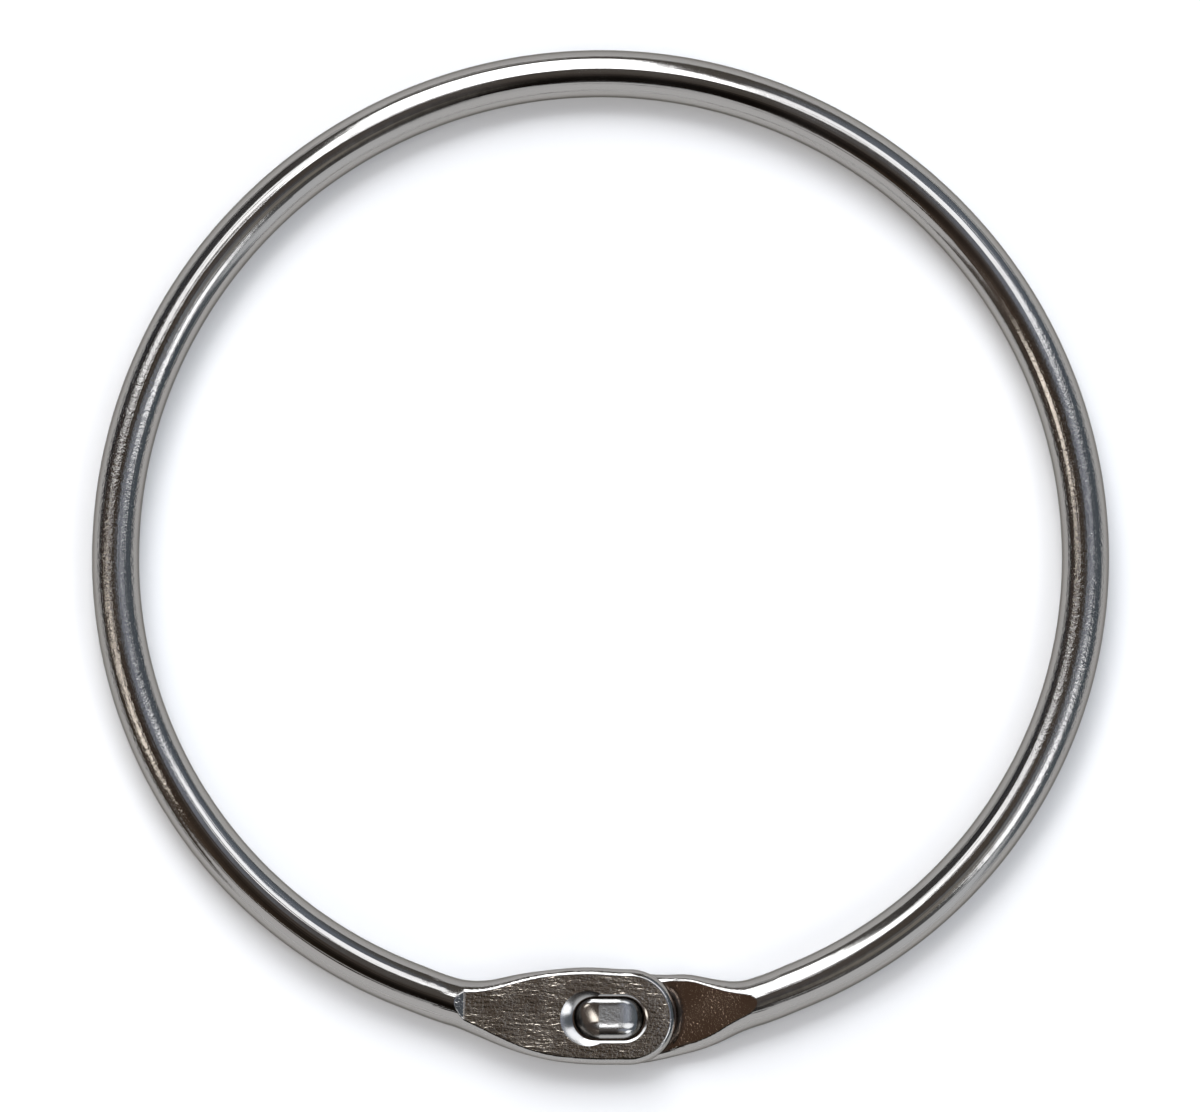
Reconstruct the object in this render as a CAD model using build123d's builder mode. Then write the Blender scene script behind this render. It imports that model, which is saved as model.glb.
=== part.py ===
"""Sprung binder ring: one steel wire whose pressed ends lap and lock with a stud in a slot.

The ring lies flat on the XY plane with its middle on the Z axis and its lock towards -Y.
The slotted end comes from -X and lies on top; the stud end comes from +X and lies under it.
Lengths are in millimetres.
"""

import math
import os

from build123d import *

# The wire, and the ring that it is bent to: how much tighter than the upper half its two lower
# quarters are, and how far out of line its ends lie, the slotted one inwards, the other outwards
wire_diameter = 3.9
inside_diameter = 76.2
lower_tuck = 2.15
end_offset = 0.15

# The lock: how far the stud stands from the ring's middle, the air between the two lapped
# faces, and how deep the outer faces are pressed below the wire's crown
lock_shift = 0.7
paddle_gap = 0.1
crown_drop = 0.3

# The slotted end: its width, how far its tip reaches past the stud, the straight run behind
# the round tip, and how far from the ring's middle the wire starts to widen
slotted_width = 8.0
slotted_reach = 5.65
slotted_straight = 2.2
slotted_flare_start = 12.05

# The stud end, in the same terms
stud_end_width = 7.5
stud_end_reach = 5.2
stud_end_straight = 3.0
stud_end_flare_start = 12.7

# How the dies run out into the round wire: the lapped face by a long ramp that starts in a
# small step, the outer face by a short shallow one
ramp_lead = 0.7
ramp_length = 7.6
ramp_step = 0.12
face_lead = 0.1
face_lead_length = 1.3

# The flare between them: the round wire that it is drawn from, the stock that the dies take
# off both faces, and how softly it starts to widen and to thin
neck_lead = 0.9
press_allowance = 0.1
flare_power = 1.15

# Stations of the two lofts, as shares of their lengths, and the seam on the wire's section
ramp_station_shares = (0.25, 0.5, 0.75, 1)
flare_station_shares = (0, 0.5, 1)
seam_share = 0.15

# The stud, which stands a little proud of the slotted end's outer face
stud_length = 5.8
stud_width = 3.4
stud_proud = 0.2
stud_crown_length = 2.1
stud_end_drop = 1.3
stud_edge_rounding = 0.85

# The slot round the stud, and the countersunk lead-in that breaks into its far end
stud_clearance = 0.13
slot_chamfer = 0.14
lead_in_margin = 0.45
lead_in_shift = 0.53
lead_in_angle = 130

# Room for cuts to run past the faces that they open
overrun = 1.0

wire_radius = wire_diameter / 2
ring_radius = (inside_diameter + wire_diameter) / 2
lock_radius = ring_radius - lower_tuck
face_level = wire_radius - crown_drop
lap_level = paddle_gap / 2
stud_top = face_level + stud_proud
slot_length = stud_length + 2 * stud_clearance
slot_width = stud_width + 2 * stud_clearance
lead_in_radius = slot_width / 2 + lead_in_margin
lead_in_hole = slot_width / 2 - lead_in_shift - slot_chamfer
lead_in_centre = slot_width / 2 - slot_length / 2 - lead_in_shift

# Levels are heights over the wire's middle, where this plane lies under the stud
lock_plane = Plane((lock_shift, -lock_radius, wire_radius))


def lower_quarter(side):
    """Centre-line radius of a lower quarter, and how far its middle stands from the ring's middle."""
    middle = lower_tuck - side * end_offset
    return ring_radius - middle, middle


def section_plane(side, run):
    """Plane square to the centre line at a run from the ring's middle, facing along one end to its tip.

    Its own Y points to that end's outer face: up on the slotted side (-1), down on the stud side (1).
    """
    radius, straight = lower_quarter(side)
    turn = max(run - straight, 0) / radius
    across = min(run, straight) + radius * math.sin(turn)
    return Plane(
        origin=(side * across, -radius * math.cos(turn), wire_radius),
        x_dir=(-side * math.sin(turn), math.cos(turn), 0),
        z_dir=(-side * math.cos(turn), -math.sin(turn), 0),
    )


def ramp_between(run, start, length, first, last):
    """Height of a straight ramp that goes from first to last over a length towards the tip."""
    share = min(max((start - run) / length, 0), 1)
    return first + (last - first) * share


def face_height(run, flare_start):
    """Height of the outer face over the wire's middle, with its shallow run-out into the wire."""
    return ramp_between(run, flare_start + face_lead, face_lead_length, wire_radius, face_level)


def lap_height(run, flare_start):
    """Height of the lapped face over the wire's middle, with its long ramp into the wire."""
    return ramp_between(run, flare_start + ramp_lead, ramp_length, ramp_step - wire_radius, lap_level)


def wire_section(plane):
    """Round wire section, split beside its two crowns so that it lofts into a flattened one."""
    seam = seam_share * wire_radius
    shoulder = math.sqrt(wire_radius**2 - seam**2)
    with BuildSketch(plane) as section:
        with BuildLine():
            ThreePointArc((-seam, shoulder), (0, wire_radius), (seam, shoulder))
            ThreePointArc((seam, shoulder), (wire_radius, 0), (seam, -shoulder))
            ThreePointArc((seam, -shoulder), (0, -wire_radius), (-seam, -shoulder))
            ThreePointArc((-seam, -shoulder), (-wire_radius, 0), (-seam, shoulder))
        make_face()
    return section.sketch


def pressed_section(plane, half_width, top, bottom):
    """Flattened section with round sides, before the dies trim its two faces."""
    middle = (top + bottom) / 2
    seam = half_width - (top - bottom) / 2
    with BuildSketch(plane) as section:
        with BuildLine():
            Line((-seam, top), (seam, top))
            ThreePointArc((seam, top), (half_width, middle), (seam, bottom))
            Line((seam, bottom), (-seam, bottom))
            ThreePointArc((-seam, bottom), (-half_width, middle), (-seam, top))
        make_face()
    return section.sketch


def pressed_end(side, width, reach, straight, flare_start):
    """A flattened end of the wire: a lofted flare, a round tip and two flat faces."""
    ramp_end = flare_start + ramp_lead - ramp_length
    tip_run = width / 2 - reach + side * lock_shift
    flare_end = tip_run + straight
    blank_top = face_level + press_allowance
    blank_bottom = lap_level - press_allowance

    def station(run):
        """Flattened section at a run, as wide and as thick as the blank is there."""
        wide_share = math.sin((flare_start - run) / (flare_start - flare_end) * math.pi / 2)
        thin_share = min((flare_start - run) / (flare_start - ramp_end), 1)
        return pressed_section(
            section_plane(side, run),
            wire_radius + (width / 2 - wire_radius) * wide_share**flare_power,
            wire_radius + (blank_top - wire_radius) * thin_share**flare_power,
            -wire_radius + (blank_bottom + wire_radius) * thin_share**flare_power,
        )

    with BuildPart() as end:
        # Along the lap's ramp the round wire turns into a flattened one
        necks = [wire_section(section_plane(side, run)) for run in (flare_start + neck_lead, flare_start)]
        ramp_runs = [flare_start + share * (ramp_end - flare_start) for share in ramp_station_shares]
        loft([*necks, *map(station, ramp_runs)])

        # From there to full width only the outline still widens
        flare_runs = [ramp_end + share * (flare_end - ramp_end) for share in flare_station_shares]
        loft([*map(station, flare_runs)])

        # The straight run, and the round tip as half of its section turned about its own middle
        extrude(station(flare_end), amount=straight)
        tip_plane = section_plane(side, flare_end).offset(straight)
        tip_section = pressed_section(tip_plane, width / 2, blank_top, blank_bottom)
        tip_half = split(tip_section, Plane(tip_plane.origin, z_dir=tip_plane.x_dir), mode=Mode.PRIVATE)
        revolve(tip_half, Axis(tip_plane.origin, tip_plane.y_dir), -180)

        # The two dies, drawn in side view along the end, press its faces flat
        for height, lead, length, way in (
            (face_height, face_lead, face_lead_length, 1),
            (lap_height, ramp_lead, ramp_length, -1),
        ):
            foot = flare_start + lead
            runs = (foot, foot - length, tip_run - width / 2 - overrun)
            corners = [(section_plane(side, run).origin.X, height(run, flare_start)) for run in runs]
            outside = way * (wire_radius + overrun)
            corners += [(corners[-1][0], outside), (corners[0][0], outside)]
            with BuildSketch(Plane.XZ):
                with BuildLine():
                    Polyline([(x, wire_radius - side * level) for x, level in corners], close=True)
                make_face()
            extrude(amount=ring_radius + width, mode=Mode.SUBTRACT)
    return end.part


with BuildPart() as slotted_end:
    add(pressed_end(-1, slotted_width, slotted_reach, slotted_straight, slotted_flare_start))

    # The slot, with a broken edge on the outer face
    with BuildSketch(lock_plane.offset(lap_level - overrun)):
        SlotOverall(slot_length, slot_width)
    extrude(amount=face_level - lap_level + 2 * overrun, mode=Mode.SUBTRACT)
    outer_face = slotted_end.faces().filter_by(Axis.Z).sort_by(Axis.Z)[-1]
    chamfer(outer_face.inner_wires()[0].edges(), slot_chamfer)

    # The lead-in, on which the stud rides down into the slot
    with Locations(lock_plane.offset(face_level) * Location((lead_in_centre, 0))):
        CounterSinkHole(lead_in_hole, lead_in_radius, counter_sink_angle=lead_in_angle)

with BuildPart() as stud:
    with BuildSketch(lock_plane.offset(-lap_level)):
        SlotOverall(stud_length, stud_width)
    extrude(amount=stud_top + lap_level)

    # In side view its crown is flat and its two ends fall away in arcs
    with BuildSketch(Plane(lock_plane.origin, x_dir=(1, 0, 0), z_dir=(0, -1, 0))):
        with BuildLine():
            crown = Line((-stud_crown_length / 2, stud_top), (stud_crown_length / 2, stud_top))
            right = TangentArc(crown @ 1, (stud_length / 2, stud_top - stud_end_drop), tangent=crown % 1)
            left = TangentArc(
                crown @ 0, (-stud_length / 2, stud_top - stud_end_drop), tangent=-(crown % 0)
            )
            Polyline(right @ 1, (stud_length / 2, -lap_level), (-stud_length / 2, -lap_level), left @ 1)
        make_face()
    extrude(amount=stud_width, both=True, mode=Mode.INTERSECT)
    fillet(stud.edges().filter_by(Axis.X).group_by(Axis.Z)[-1], stud_edge_rounding)

with BuildPart() as ring:
    add(slotted_end.part)
    add(pressed_end(1, stud_end_width, stud_end_reach, stud_end_straight, stud_end_flare_start))
    add(stud.part)

    # The wire between them, from the stud end's neck over the top to the slotted end's
    with BuildLine(Plane.XY.offset(wire_radius)) as centre_line:
        for side, flare_start in ((-1, slotted_flare_start), (1, stud_end_flare_start)):
            radius, middle = lower_quarter(side)
            turn = 90 - math.degrees((flare_start + neck_lead - middle) / radius)
            CenterArc((side * middle, 0), radius, 90 - side * 90, -side * turn)
        CenterArc((0, 0), ring_radius, 0, 180)
    with BuildSketch(Plane(centre_line.line @ 0, z_dir=centre_line.line % 0)):
        Circle(wire_radius)
    sweep()

os.makedirs("parts", exist_ok=True)
ring.part.label = "ring"
export_step(ring.part, "parts/ring.step")
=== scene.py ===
"""Binder ring of nickel-plated spring steel wire, closed at the stud and slot of its lock.

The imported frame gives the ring's place and size. This script draws the same form finely enough for a
mirror finish: the wire as a sweep by Geometry Nodes, the two pressed ends station by station, the
stud and the slot, all welded into one closed piece. Lengths in the classes are millimetres.
"""

import logging
import math
from dataclasses import dataclass, field
from enum import Enum, IntEnum
from functools import cached_property
from typing import Any, Sequence

import bmesh
import bpy
import numpy as np
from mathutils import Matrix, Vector


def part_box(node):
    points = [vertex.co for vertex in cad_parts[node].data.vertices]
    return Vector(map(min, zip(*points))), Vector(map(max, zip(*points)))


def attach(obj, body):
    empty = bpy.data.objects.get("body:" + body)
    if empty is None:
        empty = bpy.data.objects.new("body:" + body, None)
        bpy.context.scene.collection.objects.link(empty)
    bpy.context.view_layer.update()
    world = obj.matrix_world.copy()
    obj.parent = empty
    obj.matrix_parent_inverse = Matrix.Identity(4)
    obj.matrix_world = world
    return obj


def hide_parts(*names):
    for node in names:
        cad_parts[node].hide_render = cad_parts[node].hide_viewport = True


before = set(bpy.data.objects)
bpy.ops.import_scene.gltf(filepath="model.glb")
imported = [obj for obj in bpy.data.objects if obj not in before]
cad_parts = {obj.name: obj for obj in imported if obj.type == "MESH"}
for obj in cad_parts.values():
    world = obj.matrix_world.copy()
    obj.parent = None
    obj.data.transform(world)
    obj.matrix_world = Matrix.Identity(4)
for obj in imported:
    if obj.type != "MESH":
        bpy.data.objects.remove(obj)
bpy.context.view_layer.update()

log = logging.getLogger("binder_ring")

MM = 0.001
# Millimetres within which the ends and the wire between them share their points
JOIN_GAP = 0.002
# Most of a noise's values lie in this range
NOISE_RANGE = (0.3, 0.7)
# Places of the colours among the inputs and outputs of a mix node, where names aren't unique
MIX_COLOURS = (6, 7)
MIX_RESULT = 2

Points = np.ndarray
Colour = tuple[float, float, float, float]


def to_linear(hex_colour: str) -> Colour:
    """Turn an sRGB hex colour into a linear one, by the standard's curve.

    Args:
        hex_colour: Six hex digits, with or without a leading hash.

    Returns:
        Linear red, green and blue, and an alpha of 1.
    """
    digits = hex_colour.lstrip("#")
    shares = [int(digits[k:k + 2], 16) / 255 for k in (0, 2, 4)]
    linear = [s / 12.92 if s <= 0.04045 else ((s + 0.055) / 1.055) ** 2.4 for s in shares]
    return (linear[0], linear[1], linear[2], 1.0)


def add_node(
    tree: bpy.types.NodeTree,
    kind: str,
    inputs: dict[Any, Any] | None = None,
    **settings: Any,
) -> bpy.types.Node:
    """Add a node with its settings, values and links.

    Args:
        tree: The node tree that takes the node.
        kind: The node's type name.
        inputs: Values, or sockets to link from, by the input's name or number.
        settings: Properties of the node itself.

    Returns:
        The new node.
    """
    node = tree.nodes.new(kind)
    for name, value in settings.items():
        setattr(node, name, value)
    for key, value in (inputs or {}).items():
        if isinstance(value, bpy.types.NodeSocket):
            tree.links.new(value, node.inputs[key])
        else:
            node.inputs[key].default_value = value
    return node


def toward(azimuth: float, polar: float) -> Vector:
    """Unit direction at an azimuth from +X and an angle from straight up, both in degrees."""
    around, down = math.radians(azimuth), math.radians(polar)
    return Vector((math.sin(down) * math.cos(around), math.sin(down) * math.sin(around), math.cos(down)))


def smooth(share: Points) -> Points:
    """Smooth step through shares from 0 to 1."""
    return share * share * (3 - 2 * share)


class ClampedSpline:
    """Smooth curve through rows of values at rising knots, level at both ends and constant beyond them."""

    def __init__(self, knots: Sequence[float], values: Sequence[Sequence[float]]) -> None:
        """Work out the slopes at the knots.

        Args:
            knots: Rising places of the rows.
            values: One row of values for each knot.
        """
        self.knots, self.values = np.asarray(knots, float), np.asarray(values, float)
        self.gaps = np.diff(self.knots)
        rises = np.diff(self.values, axis=0) / self.gaps[:, None]
        matrix, right = np.eye(len(self.knots)), np.zeros_like(self.values)
        for k in range(1, len(self.knots) - 1):
            before, after = self.gaps[k - 1], self.gaps[k]
            matrix[k, k - 1:k + 2] = after, 2 * (before + after), before
            right[k] = 3 * (after * rises[k - 1] + before * rises[k])
        self.slopes = np.linalg.solve(matrix, right)

    def at(self, place: Points) -> Points:
        """Read the curve: one row of values for each place."""
        place = np.clip(place, self.knots[0], self.knots[-1])
        k = np.clip(np.searchsorted(self.knots, place) - 1, 0, len(self.gaps) - 1)
        gap = self.gaps[k][:, None]
        share = (place - self.knots[k])[:, None] / gap
        return (
            self.values[k] * (1 + 2 * share) * (1 - share) ** 2
            + self.slopes[k] * gap * share * (1 - share) ** 2
            + self.values[k + 1] * share**2 * (3 - 2 * share)
            + self.slopes[k + 1] * gap * share**2 * (share - 1)
        )


class Side(IntEnum):
    """The two ends of the wire, by the side of the ring that they come from."""

    SLOTTED = -1
    STUD = 1


class Finish(IntEnum):
    """Material slots of the piece."""

    WIRE = 0
    FLAT = 1
    RAMP = 2
    LOCK = 3
    CAP = 4


@dataclass(frozen=True)
class RingSizes:
    """Sizes of the wire and of what both pressed ends share.

    They are those of the part's source, apart from the dies' run-outs, which end flush in the wire here.
    """

    wire_diameter: float = 3.9
    inside_diameter: float = 76.2
    lower_tuck: float = 2.15
    end_offset: float = 0.15
    lock_shift: float = 0.7
    paddle_gap: float = 0.1
    crown_drop: float = 0.3
    ramp_lead: float = 0.35
    ramp_length: float = 7.25
    face_lead: float = 0.1
    face_lead_length: float = 0.8
    neck_lead: float = 0.9
    press_allowance: float = 0.1
    flare_power: float = 1.15
    run_in: float = 4.0
    facets_round: int = 96

    @property
    def wire_radius(self) -> float:
        """Half the wire's diameter."""
        return self.wire_diameter / 2

    @property
    def ring_radius(self) -> float:
        """Centre-line radius of the upper half."""
        return (self.inside_diameter + self.wire_diameter) / 2

    @property
    def face_level(self) -> float:
        """Height of the outer faces over the wire's middle."""
        return self.wire_radius - self.crown_drop

    @property
    def lap_level(self) -> float:
        """Height of the lapped faces over the wire's middle."""
        return self.paddle_gap / 2

    @property
    def lock_y(self) -> float:
        """Where the stud's middle stands along Y."""
        return self.lower_tuck - self.ring_radius

    def quarter_middle(self, side: Side) -> float:
        """How far a lower quarter's middle stands from the ring's middle."""
        return self.lower_tuck - side * self.end_offset

    def quarter_radius(self, side: Side) -> float:
        """Centre-line radius of a lower quarter."""
        return self.ring_radius - self.quarter_middle(side)


@dataclass(frozen=True)
class EndSizes:
    """Plan sizes of one pressed end.

    Its trims are rows of a run from the ring's middle and of how far the photographed inner and outer
    edges stand outside the plain flare there.
    """

    side: Side
    width: float
    reach: float
    straight: float
    flare_start: float
    trims: tuple[tuple[float, float, float], ...]


@dataclass
class MeshParts:
    """Vertices, faces and their finishes, gathered before they become a mesh."""

    points: list[Points] = field(default_factory=list)
    faces: list[list[int]] = field(default_factory=list)
    finishes: list[int] = field(default_factory=list)
    count: int = 0

    def add_points(self, points: Points) -> list[int]:
        """Store points and return their numbers."""
        self.points.append(np.asarray(points, float))
        first, self.count = self.count, self.count + len(points)
        return list(range(first, self.count))

    def add_face(self, corners: Sequence[int], finish: int) -> None:
        """Store a face, without the corners that it repeats."""
        loop = [c for k, c in enumerate(corners) if c != corners[k - 1]]
        if len(set(loop)) >= 3:
            self.faces.append(loop)
            self.finishes.append(int(finish))

    def bridge(self, first: Sequence[int], last: Sequence[int], finishes: Sequence[int]) -> None:
        """Join two loops of equal count with quads, closed where there is a finish for each point."""
        for k, finish in enumerate(finishes):
            n = (k + 1) % len(first)
            self.add_face([first[k], first[n], last[n], last[k]], finish)

    def loft(self, outlines: Sequence[Points], finish: int) -> list[list[int]]:
        """Join outlines of equal count into a tube, and return the numbers of their points."""
        loops = [self.add_points(outline) for outline in outlines]
        for first, last in zip(loops, loops[1:]):
            self.bridge(first, last, [finish] * len(first))
        return loops

    def to_object(self, name: str, materials: Sequence[bpy.types.Material]) -> bpy.types.Object:
        """Make a mesh object in metres, its normals outwards.

        Args:
            name: Name of the object and of its mesh.
            materials: The materials of its slots.

        Returns:
            The object, linked to the scene.
        """
        mesh = bpy.data.meshes.new(name)
        mesh.from_pydata([tuple(p) for p in np.concatenate(self.points) * MM], [], self.faces)
        for material in materials:
            mesh.materials.append(material)
        mesh.polygons.foreach_set("material_index", self.finishes)
        tidy_mesh(mesh)
        return link_mesh(name, mesh)


def link_mesh(name: str, mesh: bpy.types.Mesh) -> bpy.types.Object:
    """Put a mesh into the scene as an object at the origin."""
    piece = bpy.data.objects.new(name, mesh)
    bpy.context.scene.collection.objects.link(piece)
    return piece


def tidy_mesh(mesh: bpy.types.Mesh, weld: float = 0.0005, collapse: float = 0.00005) -> None:
    """Weld doubled points and turn all faces outwards.

    Args:
        mesh: The mesh to tidy.
        weld: Distance in millimetres within which points are one.
        collapse: Length in millimetres under which an edge is dropped.
    """
    shape = bmesh.new()
    shape.from_mesh(mesh)
    bmesh.ops.remove_doubles(shape, verts=shape.verts, dist=weld * MM)
    bmesh.ops.dissolve_degenerate(shape, edges=shape.edges, dist=collapse * MM)
    bmesh.ops.recalc_face_normals(shape, faces=shape.faces)
    shape.to_mesh(mesh)
    shape.free()


def drop_object(piece: bpy.types.Object) -> None:
    """Remove a helper object and its mesh."""
    mesh = piece.data
    bpy.data.objects.remove(piece)
    bpy.data.meshes.remove(mesh)


def evaluated_mesh(piece: bpy.types.Object) -> bpy.types.Mesh:
    """Copy an object's mesh as its modifiers leave it."""
    graph = bpy.context.evaluated_depsgraph_get()
    return bpy.data.meshes.new_from_object(piece.evaluated_get(graph), depsgraph=graph)


class Boolean(Enum):
    """Ways to combine two closed meshes."""

    CUT = "DIFFERENCE"
    JOIN = "UNION"


def combine(base: bpy.types.Object, tool: bpy.types.Object, way: Boolean) -> None:
    """Cut or join one closed mesh with another, which is then removed.

    Args:
        base: The mesh object that is changed.
        tool: The mesh object that cuts it or joins it.
        way: Which of the two.
    """
    modifier = base.modifiers.new("Combine", "BOOLEAN")
    modifier.operation = way.value
    modifier.solver = "EXACT"
    modifier.object = tool
    result = evaluated_mesh(base)
    base.modifiers.remove(modifier)
    old, base.data = base.data, result
    result.name = base.name
    bpy.data.meshes.remove(old)
    drop_object(tool)


@dataclass(frozen=True)
class WireSweep:
    """The plain wire between the pressed ends: a sheet rolled into a tube and bent along three arcs."""

    sizes: RingSizes
    slotted_neck: float
    stud_neck: float
    steps: int = 420

    def tree(self) -> tuple[bpy.types.NodeTree, dict[str, str]]:
        """Build the node tree of the sweep.

        Returns:
            The tree, and the identifier of each of its named inputs.
        """
        tree = bpy.data.node_groups.new("wire_sweep", "GeometryNodeTree")
        tree.interface.new_socket("Geometry", in_out="OUTPUT", socket_type="NodeSocketGeometry")
        lengths = ("Wire radius", "Ring radius", "Slotted middle", "Stud middle")
        kinds = dict.fromkeys((*lengths, "Slotted turn", "Stud turn"), "NodeSocketFloat")
        kinds |= {"Steps": "NodeSocketInt", "Facets": "NodeSocketInt", "Material": "NodeSocketMaterial"}
        names = {
            name: tree.interface.new_socket(name, in_out="INPUT", socket_type=kind).identifier
            for name, kind in kinds.items()
        }
        given = add_node(tree, "NodeGroupInput").outputs

        def calc(operation: str, first: Any, second: Any = 0.0) -> bpy.types.NodeSocket:
            """Result of one math node."""
            return add_node(tree, "ShaderNodeMath", {0: first, 1: second}, operation=operation).outputs[0]

        sheet = add_node(
            tree,
            "GeometryNodeMeshGrid",
            {"Vertices X": given["Steps"], "Vertices Y": calc("ADD", given["Facets"], 1.0)},
        )
        share = add_node(tree, "ShaderNodeSeparateXYZ", {0: sheet.outputs["UV Map"]}).outputs
        sweep = calc("ADD", calc("ADD", given["Slotted turn"], given["Stud turn"]), math.pi)
        angle = calc("SUBTRACT", calc("MULTIPLY", share["X"], sweep), given["Stud turn"])
        # Each lower quarter has its own middle on the X axis, and the upper half has the ring's
        stud_shift = calc("MULTIPLY", calc("LESS_THAN", angle, 0.0), given["Stud middle"])
        slotted_shift = calc("MULTIPLY", calc("GREATER_THAN", angle, math.pi), given["Slotted middle"])
        radius = calc("SUBTRACT", calc("SUBTRACT", given["Ring radius"], stud_shift), slotted_shift)
        turn = calc("MULTIPLY", share["Y"], 2 * math.pi)
        reach = calc("ADD", radius, calc("MULTIPLY", calc("SINE", turn), given["Wire radius"]))
        rise = calc("MULTIPLY", calc("ADD", calc("COSINE", turn), 1.0), given["Wire radius"])
        middle = calc("SUBTRACT", stud_shift, slotted_shift)
        across = calc("ADD", calc("MULTIPLY", calc("COSINE", angle), reach), middle)
        place = add_node(
            tree,
            "ShaderNodeCombineXYZ",
            {"X": across, "Y": calc("MULTIPLY", calc("SINE", angle), reach), "Z": rise},
        )
        bent = add_node(
            tree,
            "GeometryNodeSetPosition",
            {"Geometry": sheet.outputs["Mesh"], "Position": place.outputs[0]},
        )
        weld = add_node(
            tree, "GeometryNodeMergeByDistance", {"Geometry": bent.outputs[0], "Distance": JOIN_GAP * MM}
        )
        real = add_node(tree, "GeometryNodeRealizeInstances", {"Geometry": weld.outputs[0]})
        dressed = add_node(
            tree, "GeometryNodeSetMaterial", {"Geometry": real.outputs[0], "Material": given["Material"]}
        )
        add_node(tree, "NodeGroupOutput", {"Geometry": dressed.outputs[0]})
        return tree, names

    def build(self, material: bpy.types.Material) -> bpy.types.Mesh:
        """Run the sweep.

        Args:
            material: The wire's finish.

        Returns:
            The wire's mesh, open at both necks.
        """
        tree, names = self.tree()
        sizes = self.sizes
        carrier = link_mesh("wire_carrier", bpy.data.meshes.new("wire_carrier"))
        modifier = carrier.modifiers.new("Wire", "NODES")
        modifier.node_group = tree
        values = {
            "Wire radius": sizes.wire_radius * MM,
            "Ring radius": sizes.ring_radius * MM,
            "Slotted middle": sizes.quarter_middle(Side.SLOTTED) * MM,
            "Stud middle": sizes.quarter_middle(Side.STUD) * MM,
            "Slotted turn": self.turn(Side.SLOTTED, self.slotted_neck),
            "Stud turn": self.turn(Side.STUD, self.stud_neck),
            "Steps": self.steps,
            "Facets": sizes.facets_round,
            "Material": material,
        }
        for name, value in values.items():
            modifier[names[name]] = value
        mesh = evaluated_mesh(carrier)
        drop_object(carrier)
        mesh.polygons.foreach_set("material_index", [int(Finish.WIRE)] * len(mesh.polygons))
        return mesh

    def turn(self, side: Side, neck: float) -> float:
        """Angle of a lower quarter from the ring's side down to the run where the pressed end takes over."""
        sizes = self.sizes
        return math.pi / 2 - (neck - sizes.quarter_middle(side)) / sizes.quarter_radius(side)


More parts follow.
